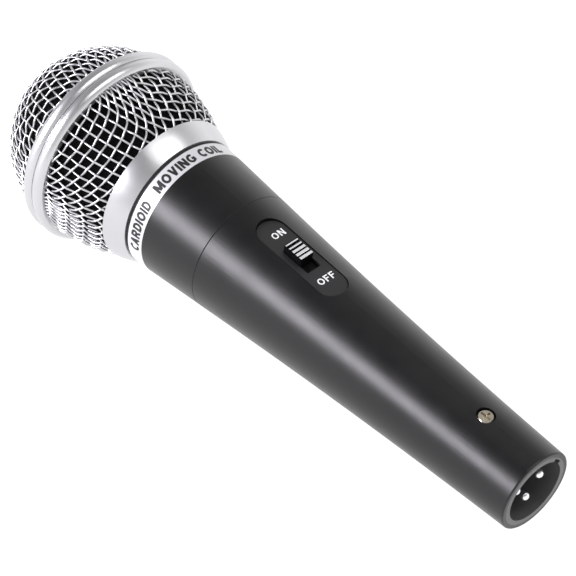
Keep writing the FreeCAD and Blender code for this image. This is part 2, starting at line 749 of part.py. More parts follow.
def make_switch_knob():
    """The ribbed black knob with its dust shield, hollow below for the actuator's stem."""
    body = new_body("switch_knob")
    shield = rectangle("shield_length", "shield_width", ON_PLACE)
    pad(body, "dust_shield", shield, "0 - shield_bottom", "shield_bottom - shield_top")
    cap = rectangle("knob_length", "knob_width", ON_PLACE)
    pad(body, "knob_cap", cap, "0 - shield_top", "shield_top + knob_top")
    first_rib = f"{ON_PLACE} - (rib_count - 1) / 2 * rib_pitch"
    rib = pad(
        body, "knob_rib", rectangle("rib_width", "knob_width", first_rib),
        "knob_top", "rib_top - knob_top",
    )
    along = [item for item in body.Origin.OriginFeatures if item.Role == "X_Axis"][0]
    row = body.newObject("PartDesign::LinearPattern", "knob_ribs")
    row.Originals = [rib]
    row.Direction = (along, [""])
    row.setExpression("Length", bound("(rib_count - 1) * rib_pitch"))
    row.setExpression("Occurrences", bound("rib_count"))
    body.Tip = row
    doc.recompute()
    sketch = new_sketch(body, "stem_socket_outline", "XY_Plane", [("z", "0 - stem_top")])
    draw(sketch, rectangle("stem_length", "stem_width", ON_PLACE))
    cut(body, sketch, "stem_socket", "shield_bottom - stem_top")
    on_switch_frame(body)
    return body


def make_switch_actuator():
    """The sliding block in the case, with a stem up into the knob."""
    body = new_body("switch_actuator")
    block = rectangle("block_length", "block_width", ON_PLACE)
    pad(body, "actuator_block", block, "0 - block_bottom", "block_bottom - block_top")
    stem = rectangle("stem_length", "stem_width", ON_PLACE)
    pad(body, "actuator_stem", stem, "0 - block_top", "block_top - stem_top")
    on_switch_frame(body)
    return body


def make_switch_wipers():
    """Two bent bronze bridges under the block, one over each row of contacts."""
    feet_level = "case_bottom - contact_height - wiper_gap"
    left_end = f"{ON_PLACE} - wiper_length / 2"
    right_end = f"{ON_PLACE} + wiper_length / 2"
    outline = [
        (left_end, f"0 - ({feet_level})"),
        (f"{left_end} + wiper_foot", f"0 - ({feet_level})"),
        (f"{left_end} + 2 * wiper_foot", "0 - block_bottom - wiper_wall"),
        (f"{right_end} - 2 * wiper_foot", "0 - block_bottom - wiper_wall"),
        (f"{right_end} - wiper_foot", f"0 - ({feet_level})"),
        (right_end, f"0 - ({feet_level})"),
        (right_end, f"0 - ({feet_level}) + wiper_wall"),
        (f"{right_end} - wiper_foot", f"0 - ({feet_level}) + wiper_wall"),
        (f"{right_end} - 2 * wiper_foot", "0 - block_bottom"),
        (f"{left_end} + 2 * wiper_foot", "0 - block_bottom"),
        (f"{left_end} + wiper_foot", f"0 - ({feet_level}) + wiper_wall"),
        (left_end, f"0 - ({feet_level}) + wiper_wall"),
    ]
    bridges = []
    for number, v in enumerate(("contact_row", "0 - contact_row"), start=1):
        body = new_body(f"wiper_{number}")
        # the XZ plane's normal is -Y, so the level along it is minus v
        pad(body, f"wiper_strip_{number}", outline, f"0 - ({v}) - wiper_width / 2",
            "wiper_width", "XZ_Plane")
        bridges.append(body)
    group = doc.addObject("Part::Compound", "switch_wipers")
    group.Links = bridges
    group.Label = "switch_wipers"
    doc.recompute()
    on_switch_frame(group)
    return group


# ---------------------------------------------------------------------------------------------
# Capsule
# ---------------------------------------------------------------------------------------------
def make_capsule_housing():
    """The capsule's moulded barrel with its narrower snout and the web between them."""
    return turned_body(
        "capsule_housing",
        [
            ("snout_x", "chamber_radius"),
            ("snout_x", "snout_radius"),
            ("flange_x", "snout_radius"),
            ("flange_x", "housing_radius"),
            ("housing_end_x", "housing_radius"),
            ("housing_end_x", "barrel_bore"),
            ("web_x", "barrel_bore"),
            ("web_x", "chamber_radius"),
        ],
    )


def ring_corners(rear, front, inner, outer):
    """The section of a plain ring."""
    return [(rear, inner), (rear, outer), (front, outer), (front, inner)]


def make_front_cap():
    """The cap over the diaphragm, with a middle port and a ring of ports."""
    body = turned_body(
        "capsule_front_cap",
        [
            ("housing_end_x", "0"),
            ("housing_end_x", "housing_radius"),
            ("front_cap_x - cap_round", "housing_radius", "cap_round", RIGHT),
            ("front_cap_x", "housing_radius - cap_round"),
            ("front_cap_x", "0"),
        ],
    )
    for name, offset, radius in (
        ("centre_port", "0", "centre_port"),
        ("ring_port", "port_circle", "port_radius"),
    ):
        sketch = new_sketch(body, f"{name}_outline", "YZ_Plane", [("z", "front_cap_x")])
        draw_circle(sketch, "0", offset, radius)
        port = cut(body, sketch, f"{name}_cut", "front_cap_x - housing_end_x")
    repeat_around_x(body, port, "port_count")
    return body


def make_diaphragm_dome():
    """The stiff dome of the diaphragm with a narrow flat rim."""
    back_curve = "cap_curve - film_wall"
    return turned_body(
        "diaphragm_dome",
        [
            ("film_x", "cap_edge - film_wall"),
            ("film_x", "dome_edge"),
            ("film_x + film_wall", "dome_edge"),
            ("film_x + film_wall", "cap_edge", "cap_curve", RIGHT),
            ("film_x + film_wall + cap_curve - sqrt(cap_curve ^ 2 - cap_edge ^ 2)", "0"),
            (
                f"film_x + {back_curve} - sqrt(({back_curve}) ^ 2 - (cap_edge - film_wall) ^ 2)",
                "0", back_curve, LEFT,
            ),
        ],
    )


def make_diaphragm_surround():
    """The thin roll between the dome and the glued edge."""
    return turned_body(
        "diaphragm_surround",
        [
            ("film_x", "dome_edge"),
            ("film_x", "roll_start", "roll_curve", LEFT),
            ("film_x", "roll_end"),
            ("film_x", "barrel_bore"),
            ("film_x + film_wall", "barrel_bore"),
            ("film_x + film_wall", "roll_end", "roll_curve", RIGHT),
            ("film_x + film_wall", "roll_start"),
            ("film_x + film_wall", "dome_edge"),
        ],
    )


def make_yoke():
    """The steel cup around the magnet."""
    return turned_body(
        "capsule_yoke",
        [
            ("felt_x", "0"),
            ("felt_x", "yoke_radius"),
            ("gap_x", "yoke_radius"),
            ("gap_x", "yoke_bore"),
            ("yoke_floor_x", "yoke_bore"),
            ("yoke_floor_x", "0"),
        ],
    )


def make_capsule_tabs():
    """Two flat solder tabs through the terminal board."""
    tabs = []
    for side, offset in (("left", "tab_offset"), ("right", "0 - tab_offset")):
        tab = doc.addObject("Part::Box", f"tab_{side}")
        tab.setExpression("Length", bound("board_front_x - tab_x"))
        tab.setExpression("Width", bound("tab_width"))
        tab.setExpression("Height", bound("tab_wall"))
        tab.setExpression("Placement.Base.x", bound("tab_x"))
        tab.setExpression("Placement.Base.y", bound(f"{offset} - tab_width / 2"))
        tab.setExpression("Placement.Base.z", bound("0 - tab_wall / 2"))
        tabs.append(tab)
    group = doc.addObject("Part::Compound", "capsule_tabs")
    group.Links = tabs
    group.Label = "capsule_tabs"
    return group


def make_terminal_board():
    """The board that closes the snout, slotted for the tabs."""
    body = turned_body(
        "capsule_terminal_board", ring_corners("snout_x", "board_front_x", "0", "chamber_radius")
    )
    sketch = new_sketch(body, "tab_slots_outline", "YZ_Plane", [("z", "board_front_x")])
    for offset in ("tab_offset", "0 - tab_offset"):
        draw(sketch, rectangle("tab_width", "tab_wall", offset, "0"))
    cut(body, sketch, "tab_slots", "board_front_x - snout_x")
    return body


# ---------------------------------------------------------------------------------------------
# Grille
# ---------------------------------------------------------------------------------------------
def make_collar():
    """The satin collar that the hand turns, rounded outside."""
    return turned_body(
        "grille_collar",
        [
            ("collar_x", "nut_radius"),
            ("collar_x", "collar_radius", "collar_curve", RIGHT),
            ("collar_end_x", "collar_end_radius"),
            ("collar_end_x", "nut_radius"),
        ],
    )


def make_lower_mesh():
    """The lower basket of woven wire, drawn as a thin shell."""
    return turned_body(
        "mesh_lower",
        [
            ("collar_end_x", "basket_radius - mesh_wall"),
            ("collar_end_x", "basket_radius", "basket_curve", RIGHT),
            ("band_x", "basket_end_radius"),
            ("band_x", "basket_end_radius - mesh_wall", "basket_curve - mesh_wall", LEFT),
        ],
    )


def make_band_rings():
    """The two rolled rings that meet in the crease around the ball's middle."""
    lower = turned_body(
        "band_lower_ring",
        [
            ("band_x", "band_bore"),
            ("band_x", "band_rear_radius", "band_curve", RIGHT),
            ("crease_x - crease_gap", "crease_radius"),
            ("crease_x - crease_gap", "band_bore"),
        ],
    )
    upper = turned_body(
        "band_upper_ring",
        [
            ("crease_x + crease_gap", "band_bore"),
            ("crease_x + crease_gap", "crease_radius", "band_curve", RIGHT),
            ("band_end_x", "band_front_radius"),
            ("band_end_x", "band_bore"),
        ],
    )
    return [lower, upper]


def dome_corners(start, radius):
    """The outer arc of a dome about the ball's centre: its foot, and its top on the axis."""
    foot = f"sqrt(({radius}) ^ 2 - ({start} - dome_centre_x) ^ 2)"
    return [(start, foot, radius, RIGHT), (f"dome_centre_x + {radius}", "0")]


def make_dome(name, start, outer, inner):
    """A domed shell between two concentric spheres, cut square at its rear."""
    inner_foot = f"sqrt(({inner}) ^ 2 - ({start} - dome_centre_x) ^ 2)"
    corners = dome_corners(start, outer)
    corners.append((f"dome_centre_x + {inner}", "0", inner, LEFT))
    corners.append((start, inner_foot))
    return turned_body(name, corners)


def make_lower_foam():
    """The foam lining of the lower basket."""
    return turned_body(
        "foam_lower",
        [
            ("foam_x", "foam_rear_radius - foam_wall"),
            ("foam_x", "foam_rear_radius", "foam_curve", RIGHT),
            ("foam_end_x", "foam_front_radius"),
            ("foam_end_x", "foam_front_radius - foam_wall", "foam_curve - foam_wall", LEFT),
        ],
    )


# ---------------------------------------------------------------------------------------------
# Wires: straight runs joined by tangent arcs
# ---------------------------------------------------------------------------------------------
BEND_SHARE = 0.45
VOLUME_TOLERANCE = 0.02
BARREL_FAR_X = 60.0
BARREL_MIDDLE_X = 46.0
BARREL_NEAR_X = 33.0
OUTPUT_SPREAD = 3.2
OUTPUT_HEIGHT = -1.4
GROUND_HEIGHT = -4.7


def switch_point(u, v, n):
    """A place in the switch's frame, given as plain numbers, in the microphone's frame."""
    slope = math.radians(value("switch_slope"))
    x = value("switch_x") + u * math.cos(slope) - n * math.sin(slope)
    z = value("switch_z") + u * math.sin(slope) + n * math.cos(slope)
    return FreeCAD.Vector(x, v, z)


def rounded_path(points):
    """A wire of straight runs with a tangent arc at each corner, and its length."""
    edges = []
    here = points[0]
    for before, corner, after in zip(points, points[1:], points[2:]):
        back = before - corner
        ahead = after - corner
        turn = math.pi - back.getAngle(ahead)
        reach = BEND_SHARE * min(back.Length, ahead.Length)
        radius = reach / math.tan(turn / 2)
        back.normalize()
        ahead.normalize()
        start = corner + back * reach
        end = corner + ahead * reach
        bisector = (back + ahead).normalize()
        middle = corner + bisector * (radius / math.cos(turn / 2) - radius)
        edges.append(Part.LineSegment(here, start).toShape())
        edges.append(Part.Arc(start, middle, end).toShape())
        here = end
    edges.append(Part.LineSegment(here, points[-1]).toShape())
    return Part.Wire(edges)


def make_lead(name, points):
    """An insulated wire along a rounded path."""
    path = rounded_path(points)
    radius = value("lead_radius")
    direction = (points[1] - points[0]).normalize()
    circle = Part.Wire([Part.Circle(points[0], direction, radius).toShape()])
    shape = path.makePipeShell([circle], True, True)
    expected = math.pi * radius * radius * path.Length
    if abs(shape.Volume - expected) > VOLUME_TOLERANCE * expected:
        raise RuntimeError(f"{name} has the wrong volume")
    lead = doc.addObject("Part::Feature", name)
    lead.Shape = shape
    lead.Label = name
    return lead


def make_leads():
    """Two wires from the capsule to the switch, and three from the switch to the pins."""
    row = value("contact_row")
    pitch = value("contact_pitch")
    below = -value("lug_bottom + lead_gap")
    tab_end = value("tab_x - lead_gap")
    offset = value("tab_offset")
    cup_x = value("pin_cup_x - pin_cup_depth + lead_gap")
    pins = [FreeCAD.Vector(cup_x, value(y), value(z)) for y, z in pin_places()]
    leave = value("contact_pitch / 2")
    drop = value("case_bottom / 2")
    leads = []
    for name, side, sag in (("lead_capsule_a", 1, drop / 2), ("lead_capsule_b", -1, drop)):
        behind = FreeCAD.Vector(tab_end, side * offset, 0)
        leads.append(make_lead(name, [
            behind,
            behind - FreeCAD.Vector(offset * 2, 0, 0),
            behind - FreeCAD.Vector(offset * 4, 0, sag),
            switch_point(pitch + leave, side * (row + leave / 2), below - drop),
            switch_point(pitch, side * row, below),
        ]))
    for name, pin, side in (("lead_output_2", pins[0], 1), ("lead_output_3", pins[1], -1)):
        leads.append(make_lead(name, [
            switch_point(0, side * row, below),
            switch_point(-leave, side * (row + leave / 2), below - drop),
            FreeCAD.Vector(BARREL_FAR_X, side * OUTPUT_SPREAD, OUTPUT_HEIGHT),
            FreeCAD.Vector(BARREL_MIDDLE_X, side * OUTPUT_SPREAD, OUTPUT_HEIGHT),
            FreeCAD.Vector(BARREL_NEAR_X, pin.y, pin.z),
            pin,
        ]))
    leads.append(make_lead("lead_ground", [
        switch_point(-pitch, -row, below),
        switch_point(-pitch - leave, -row / 2, below - drop),
        FreeCAD.Vector(BARREL_FAR_X, 0, GROUND_HEIGHT),
        FreeCAD.Vector(BARREL_MIDDLE_X, 0, GROUND_HEIGHT),
        FreeCAD.Vector(BARREL_NEAR_X, 0, pins[2].z),
        pins[2],
    ]))
    return leads


# ---------------------------------------------------------------------------------------------
# The assembly
# ---------------------------------------------------------------------------------------------
def make_all():
    """Every sub-part, in the order from the tail to the tip."""
    parts = [
        make_handle_tube(),
        make_neck_sleeve(),
        make_label_ring(),
        make_neck_spigot(),
        make_shock_mount(),
        make_connector_shell(),
        make_insulator(),
    ]
    for number, (y, z) in enumerate(pin_places(), start=1):
        parts.append(make_pin(number, y, z))
    parts += [
        make_earth_leaf(),
        make_set_screw(),
        make_switch_plate(),
        make_switch_case(),
        make_switch_base(),
        make_switch_terminals(),
        make_switch_knob(),
        make_switch_actuator(),
        make_switch_wipers(),
        make_capsule_housing(),
        make_front_cap(),
        make_terminal_board(),
        make_capsule_tabs(),
        make_yoke(),
    ]
    for name, rear, front, inner, outer in (
        ("capsule_felt", "web_x", "felt_x", "0", "barrel_bore"),
        ("capsule_carrier", "felt_x", "film_x", "yoke_radius", "barrel_bore"),
        ("capsule_magnet", "yoke_floor_x", "gap_x", "0", "magnet_radius"),
        ("capsule_pole_plate", "gap_x", "gap_end_x", "0", "pole_radius"),
        ("capsule_gap_ring", "gap_x", "gap_end_x", "gap_radius", "yoke_radius"),
        ("capsule_clamp_ring", "film_x + film_wall", "housing_end_x", "roll_end", "barrel_bore"),
        ("voice_coil", "coil_x", "film_x", "coil_bore", "coil_radius"),
        ("seal_ring", "label_end_x + seal_gap", "collar_x - seal_gap", "seal_bore", "seal_radius"),
        (
            "grille_nut", "collar_x", "collar_end_x",
            "thread_radius + thread_gap", "nut_radius",
        ),
    ):
        parts.append(turned_body(name, ring_corners(rear, front, inner, outer)))
    parts += [
        make_diaphragm_dome(),
        make_diaphragm_surround(),
        make_collar(),
        make_lower_mesh(),
        *make_band_rings(),
        make_dome("mesh_dome", "band_end_x", "dome_radius", "dome_radius - mesh_wall"),
        make_lower_foam(),
    ]
    foam_outer = "dome_radius - mesh_wall - foam_gap"
    parts.append(
        make_dome("foam_dome", "dome_foam_x", f"({foam_outer})", f"({foam_outer} - foam_wall)")
    )
    return parts + make_leads()


parts = make_all()
doc.recompute()

for item in doc.Objects:
    if "Invalid" in item.State or "Error" in item.State:
        raise RuntimeError(f"{item.Name} failed: {item.State}")
for part in parts:
    if part.Shape.isNull() or not part.Shape.isValid():
        raise RuntimeError(f"{part.Label} has no valid shape")
for part in parts:
    part.Shape.exportStep(f"parts/{part.Label}.step")
    solids = len(part.Shape.Solids)
    print(f"{part.Label:26s} {solids} solid(s) {part.Shape.Volume:10.2f} mm3")
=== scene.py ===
import json
import math

import bmesh
import bpy
import mathutils.noise
import numpy as np
from mathutils import Matrix, Vector


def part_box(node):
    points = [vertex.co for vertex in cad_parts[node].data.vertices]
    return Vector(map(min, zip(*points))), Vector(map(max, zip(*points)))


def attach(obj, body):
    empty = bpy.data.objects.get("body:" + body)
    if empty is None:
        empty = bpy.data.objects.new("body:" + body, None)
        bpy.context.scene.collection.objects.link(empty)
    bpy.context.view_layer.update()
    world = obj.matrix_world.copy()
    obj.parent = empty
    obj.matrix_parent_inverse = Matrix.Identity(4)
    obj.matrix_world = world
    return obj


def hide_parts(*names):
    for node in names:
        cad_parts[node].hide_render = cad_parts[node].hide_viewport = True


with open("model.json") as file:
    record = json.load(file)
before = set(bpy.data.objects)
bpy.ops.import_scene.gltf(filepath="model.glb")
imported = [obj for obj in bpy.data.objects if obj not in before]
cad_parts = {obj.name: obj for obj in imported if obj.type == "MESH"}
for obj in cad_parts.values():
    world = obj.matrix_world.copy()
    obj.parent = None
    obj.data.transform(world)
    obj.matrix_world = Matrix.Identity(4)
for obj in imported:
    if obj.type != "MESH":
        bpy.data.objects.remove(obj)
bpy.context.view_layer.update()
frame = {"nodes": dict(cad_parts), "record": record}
NODES = frame["nodes"]
MM = 0.001

# ---------------------------------------------------------------- shader helpers


def new_material(name):
    """A node material with its shader and the object coordinates that its patterns use."""
    mat = bpy.data.materials.new(name)
    mat.use_nodes = True
    tree = mat.node_tree
    shader = tree.nodes["Principled BSDF"]
    coords = tree.nodes.new("ShaderNodeTexCoord")
    return mat, tree, shader, coords.outputs["Object"]


def node(tree, kind, inputs=(), **settings):
    """A shader node; inputs are (socket, value or socket to link)."""
    made = tree.nodes.new(kind)
    for key, value in settings.items():
        setattr(made, key, value)
    for key, value in inputs:
        if isinstance(value, bpy.types.NodeSocket):
            tree.links.new(value, made.inputs[key])
        else:
            made.inputs[key].default_value = value
    return made


def noise(tree, coords, scale, detail=3.0, roughness=0.55, stretch=(1, 1, 1)):
    """Noise of that many cells a metre, stretched along the axes."""
    mapping = node(tree, "ShaderNodeMapping", [("Vector", coords), ("Scale", stretch)])
    settings = [("Scale", scale), ("Detail", detail), ("Roughness", roughness)]
    made = node(tree, "ShaderNodeTexNoise", [("Vector", mapping.outputs[0]), *settings])
    return made.outputs["Fac"]


def spread(tree, value, low, high, from_low=0.3, from_high=0.7):
    """A 0 to 1 pattern spread over a range of values."""
    ends = [("From Min", from_low), ("From Max", from_high), ("To Min", low), ("To Max", high)]
    made = node(tree, "ShaderNodeMapRange", [("Value", value), *ends])
    return made.outputs["Result"]


def two_colours(tree, value, first, second, from_low=0.3, from_high=0.7):
    """Blends two colours by a pattern."""
    factor = spread(tree, value, 0.0, 1.0, from_low, from_high)
    made = node(tree, "ShaderNodeMix", [("Factor", factor)], data_type="RGBA")
    made.inputs["A"].default_value = (*first, 1)
    made.inputs["B"].default_value = (*second, 1)
    return made.outputs["Result"]


def bump(tree, shader, layers):
    """Chains bumps, each (height pattern, strength, depth in metres), into the shader's normal."""
    normal = None
    for height, strength, depth in layers:
        settings = [("Height", height), ("Strength", strength), ("Distance", depth)]
        made = node(tree, "ShaderNodeBump", settings)
        if normal is not None:
            tree.links.new(normal, made.inputs["Normal"])
        normal = made.outputs["Normal"]
    tree.links.new(normal, shader.inputs["Normal"])


def shade(colour, factor):
    return tuple(c * factor for c in colour)


def grained(name, colour, rough=(0.35, 0.5), metallic=0.0, grain=2500, depth=0.01, strength=0.25,
            mottle=0.12, specular=0.5, coat=0.0, stretch=(1, 1, 1), sheen=0.0):
    """Paint, plastic or metal with a fine grain, slow colour mottling and uneven gloss.
    grain is cells a metre, depth the grain's depth in millimetres."""
    mat, tree, shader, coords = new_material(name)
    slow = noise(tree, coords, 60, 4)
    fine = noise(tree, coords, grain, 3, 0.6, stretch)
    smudge = noise(tree, coords, 140, 5, 0.65)
    tree.links.new(two_colours(tree, slow, shade(colour, 1 - mottle), shade(colour, 1 + mottle)),
                   shader.inputs["Base Color"])
    tree.links.new(spread(tree, smudge, *rough), shader.inputs["Roughness"])
    shader.inputs["Metallic"].default_value = metallic
    shader.inputs["Specular IOR Level"].default_value = specular
    shader.inputs["Coat Weight"].default_value = coat
    shader.inputs["Sheen Weight"].default_value = sheen
    bump(tree, shader, [(fine, strength, depth * MM)])
    return mat


def foam(name, colour):
    """Open-cell foam: dark round pores with lighter walls; the pores' darkness in the colour is
    painted shade.
    """
    mat, tree, shader, coords = new_material(name)
    cells = node(tree, "ShaderNodeTexVoronoi", [("Vector", coords), ("Scale", 1100.0)], feature="F1")
    pores = cells.outputs["Distance"]
    # Painted shade: the colour is darkened where the pores fall in, lighter on the walls between.
    tree.links.new(two_colours(tree, pores, shade(colour, 1.6), shade(colour, 0.5), 0.1, 0.8),
                   shader.inputs["Base Color"])
    shader.inputs["Roughness"].default_value = 0.95
    shader.inputs["Specular IOR Level"].default_value = 0.12
    bump(tree, shader, [(pores, 0.9, 0.25 * MM), (noise(tree, coords, 5000, 4), 0.4, 0.03 * MM)])
    return mat


def felt(name, colour):
    """Pressed felt: short fibres in all directions."""
    mat, tree, shader, coords = new_material(name)
    one = noise(tree, coords, 1200, 6, 0.7, (1, 4, 1))
    two = noise(tree, coords, 1200, 6, 0.7, (1, 1, 4))
    both = node(tree, "ShaderNodeMath", [(0, one), (1, two)], operation="ADD").outputs[0]
    tree.links.new(two_colours(tree, both, shade(colour, 0.6), shade(colour, 1.3), 0.7, 1.3),
                   shader.inputs["Base Color"])
    shader.inputs["Roughness"].default_value = 0.9
    shader.inputs["Sheen Weight"].default_value = 0.4
    bump(tree, shader, [(both, 0.8, 0.15 * MM)])
    return mat


# The wave texture turns by this many radians a metre at a scale of 1.
WAVE_RATE = 20


def turned(name, colour, rough=(0.25, 0.4), spacing=0.12 * math.tau):
    """Metal turned on a lathe: fine rings around X, about that many millimetres apart."""
    mat, tree, shader, coords = new_material(name)
    settings = [("Scale", math.tau / (WAVE_RATE * spacing * MM)), ("Distortion", 1.5), ("Detail", 2.0)]
    rings = node(tree, "ShaderNodeTexWave", [("Vector", coords), *settings],
                 wave_type="BANDS", bands_direction="X").outputs["Fac"]
    slow = noise(tree, coords, 90, 4)
    mottled = two_colours(tree, slow, shade(colour, 0.9), shade(colour, 1.08))
    tree.links.new(mottled, shader.inputs["Base Color"])
    tree.links.new(spread(tree, rings, *rough, 0.0, 1.0), shader.inputs["Roughness"])
    shader.inputs["Metallic"].default_value = 1.0
    bump(tree, shader, [(rings, 0.25, 0.01 * MM)])
    return mat


def winding(name, colour):
    """A coil wound from enamelled wire, in rings around X, with painted shade darkening the grooves
    between the turns.
    """
    mat, tree, shader, coords = new_material(name)
    rings = node(tree, "ShaderNodeTexWave", [("Vector", coords), ("Scale", 500.0)],
                 wave_type="BANDS", bands_direction="X").outputs["Fac"]
    # Painted shade: the colour falls to about a third in the grooves between the wire's turns.
    turns_and_groove_shade = two_colours(tree, rings, shade(colour, 0.35), colour, 0.1, 0.7)
    tree.links.new(turns_and_groove_shade, shader.inputs["Base Color"])
    tree.links.new(spread(tree, noise(tree, coords, 800), 0.25, 0.4), shader.inputs["Roughness"])
    shader.inputs["Metallic"].default_value = 0.9
    bump(tree, shader, [(rings, 0.9, 0.04 * MM)])
    return mat


def film(name, colour):
    """Thin half-clear plastic film."""
    mat, tree, shader, coords = new_material(name)
    tree.links.new(two_colours(tree, noise(tree, coords, 200, 3), shade(colour, 0.92), colour),
                   shader.inputs["Base Color"])
    tree.links.new(spread(tree, noise(tree, coords, 300, 4), 0.08, 0.18), shader.inputs["Roughness"])
    shader.inputs["Alpha"].default_value = 0.55
    bump(tree, shader, [(noise(tree, coords, 500, 3), 0.15, 0.02 * MM)])
    return mat


BLACK_PAINT = {
    "colour": (0.0042, 0.0042, 0.0048), "rough": (0.31, 0.37), "grain": 3800, "depth": 0.012,
    "strength": 0.3, "mottle": 0.08, "specular": 0.46,
}
MATERIALS = {
    "handle_black": grained("handle_black", **BLACK_PAINT),
    "sleeve_black": grained("sleeve_black", **BLACK_PAINT),
    "label_silver": grained(
        "label_silver", (0.62, 0.62, 0.635), (0.34, 0.42), 0.25, 3500, 0.006, 0.25, 0.04
    ),
    "spigot_alloy": turned("spigot_alloy", (0.62, 0.62, 0.64)),
    "rubber_black": grained(
        "rubber_black", (0.012, 0.012, 0.012), (0.65, 0.8), grain=3000, depth=0.02, strength=0.4
    ),
    "shell_grey": grained("shell_grey", (0.12, 0.117, 0.12), (0.36, 0.46), 0.4, 2600, 0.02, 0.35),
    "insulator_black": grained(
        "insulator_black", (0.006, 0.006, 0.0065), (0.4, 0.55), grain=2500, depth=0.02, specular=0.3
    ),
    "pin_silver": grained(
        "pin_silver", (0.86, 0.86, 0.87), (0.12, 0.2), 1.0, 3000, 0.004, 0.2, 0.03
    ),
    "leaf_bronze": grained(
        "leaf_bronze", (0.66, 0.44, 0.23), (0.25, 0.4), 1.0, 3000, 0.006, 0.3, 0.1
    ),
    "screw_nickel": grained(
        "screw_nickel", (0.66, 0.60, 0.50), (0.22, 0.36), 1.0, 3000, 0.01, 0.35, 0.15
    ),
    "plate_black": grained(
        "plate_black", (0.011, 0.011, 0.012), (0.42, 0.5), grain=3200, depth=0.02, strength=0.4
    ),
    "case_steel": grained(
        "case_steel", (0.58, 0.58, 0.60), (0.3, 0.45), 1.0, 2000, 0.008, 0.3, 0.08, stretch=(1, 8, 1)
    ),
    "board_brown": grained(
        "board_brown", (0.28, 0.15, 0.06), (0.45, 0.6), grain=1800, depth=0.02, mottle=0.25
    ),
    "contact_brass": grained(
        "contact_brass", (0.78, 0.60, 0.28), (0.22, 0.35), 1.0, 2500, 0.006, 0.3, 0.08
    ),
    "knob_black": grained(
        "knob_black", (0.0016, 0.0016, 0.002), (0.34, 0.44), grain=2600, depth=0.01, specular=0.12
    ),
    "actuator_white": grained(
        "actuator_white", (0.72, 0.70, 0.63), (0.4, 0.5), grain=2000, depth=0.01, mottle=0.05
    ),
    "capsule_black": grained(
        "capsule_black", (0.014, 0.014, 0.015), (0.42, 0.55), grain=2200, depth=0.02
    ),
    "felt_grey": felt("felt_grey", (0.22, 0.22, 0.23)),
    "yoke_steel": turned("yoke_steel", (0.5, 0.5, 0.51)),
    "magnet_dark": grained(
        "magnet_dark", (0.2, 0.2, 0.21), (0.35, 0.5), 1.0, 2200, 0.02, 0.4, 0.12
    ),
    "film_amber": film("film_amber", (0.75, 0.62, 0.38)),
    "coil_copper": winding("coil_copper", (0.80, 0.38, 0.17)),
    "collar_silver": grained(
        "collar_silver", (0.59, 0.59, 0.605), (0.29, 0.36), 0.9, 4200, 0.008, 0.3, 0.03
    ),
    "band_silver": grained(
        "band_silver", (0.59, 0.59, 0.605), (0.27, 0.34), 0.9, 4200, 0.008, 0.3, 0.03
    ),
    "mesh_silver": grained(
        "mesh_silver", (0.62, 0.62, 0.635), (0.32, 0.42), 0.9, 3000, 0.006, 0.3, 0.06
    ),
    "foam_black": foam("foam_black", (0.0016, 0.0016, 0.0018)),
    "lead_red": grained("lead_red", (0.42, 0.02, 0.015), (0.4, 0.5), grain=1500, depth=0.02),
    "lead_white": grained("lead_white", (0.7, 0.7, 0.67), (0.4, 0.5), grain=1500, depth=0.02),
    "lead_green": grained("lead_green", (0.02, 0.22, 0.05), (0.4, 0.5), grain=1500, depth=0.02),
}
PRINT_WHITE = grained(
    "print_white", (0.80, 0.80, 0.81), (0.45, 0.55), grain=3000, depth=0.01, mottle=0.05
)
PRINT_BLACK = grained(
    "print_black", (0.010, 0.010, 0.011), (0.45, 0.55), grain=3000, depth=0.01, mottle=0.05
)
PRINT_SILVER = grained("print_silver", (0.82, 0.82, 0.84), (0.3, 0.4), 0.6, 3000, 0.008, 0.25, 0.04)

SLOT_OF = {part["node"]: part["material_slot"] for part in frame["record"]["subparts"]}


def dress(obj, slot_name):
    """Gives an object the one material of the record's slot of that name."""
    obj.data.materials.clear()
    obj.data.materials.append(MATERIALS[slot_name])


for name, obj in NODES.items():
    dress(obj, SLOT_OF[name])

# ---------------------------------------------------------------- mesh helpers


def add_mesh(name, vertices, faces, smooth=True):
    """A new mesh object from lists of vertices in metres and faces."""
    data = bpy.data.meshes.new(name)
    data.from_pydata([tuple(v) for v in vertices], [], faces)
    data.validate()
    data.update()
    for polygon in data.polygons:
        polygon.use_smooth = smooth
    obj = bpy.data.objects.new(name, data)
    bpy.context.scene.collection.objects.link(obj)
    return obj


def around(x, r, angle):
    """The point at x and radius r, angle radians from +Z towards +Y, in metres."""
    return Vector((x, r * math.sin(angle), r * math.cos(angle)))


def tube_mesh(paths, radius, sides):
    """Vertices and faces of round closed-ended tubes along paths, each a list of (point, normal)."""
    vertices, faces = [], []
    for path in paths:
        points = [p for p, _ in path]
        start = len(vertices)
        for k, (point, normal) in enumerate(path):
            ahead = points[min(k + 1, len(points) - 1)] - points[max(k - 1, 0)]
            ahead.normalize()
            side = ahead.cross(normal).normalized()
            up = side.cross(ahead)
            for m in range(sides):
                turn = math.tau * m / sides
                vertices.append(point + (side * math.cos(turn) + up * math.sin(turn)) * radius)
        for k in range(len(path) - 1):
            for m in range(sides):
                a = start + k * sides + m
                b = start + k * sides + (m + 1) % sides
                faces.append((a, b, b + sides, a + sides))
        faces.append(tuple(start + m for m in reversed(range(sides))))
        last = start + (len(path) - 1) * sides
        faces.append(tuple(last + m for m in range(sides)))
    return vertices, faces


# ---------------------------------------------------------------- woven grille

WIRE_RADIUS = 0.265 * MM
WIRE_SIDES = 8
# Steps of the net between two wires, and how far a wire swings over and under, in wire radii.
FINE = 6
LIFT_SHARE = 1.02
# Solving for a crossing: rounds, nudges for the slopes, the most it may turn in a round,
# the least slope that can be divided by, and what counts as met.
NEWTON_ROUNDS = 25
NUDGE = 0.01 * MM
NUDGE_ANGLE = 1e-5
MOST_TURN = 0.2
NO_SLOPE = 1e-9
MET = 1e-7
# Nearer the pole than this a crossing is first guessed as on a flat sheet.
NEAR_POLE = 6 * MM
REACH = 8 * MM
NORMAL_STEP = 0.2 * MM
DEPTH = 2.05 * WIRE_RADIUS


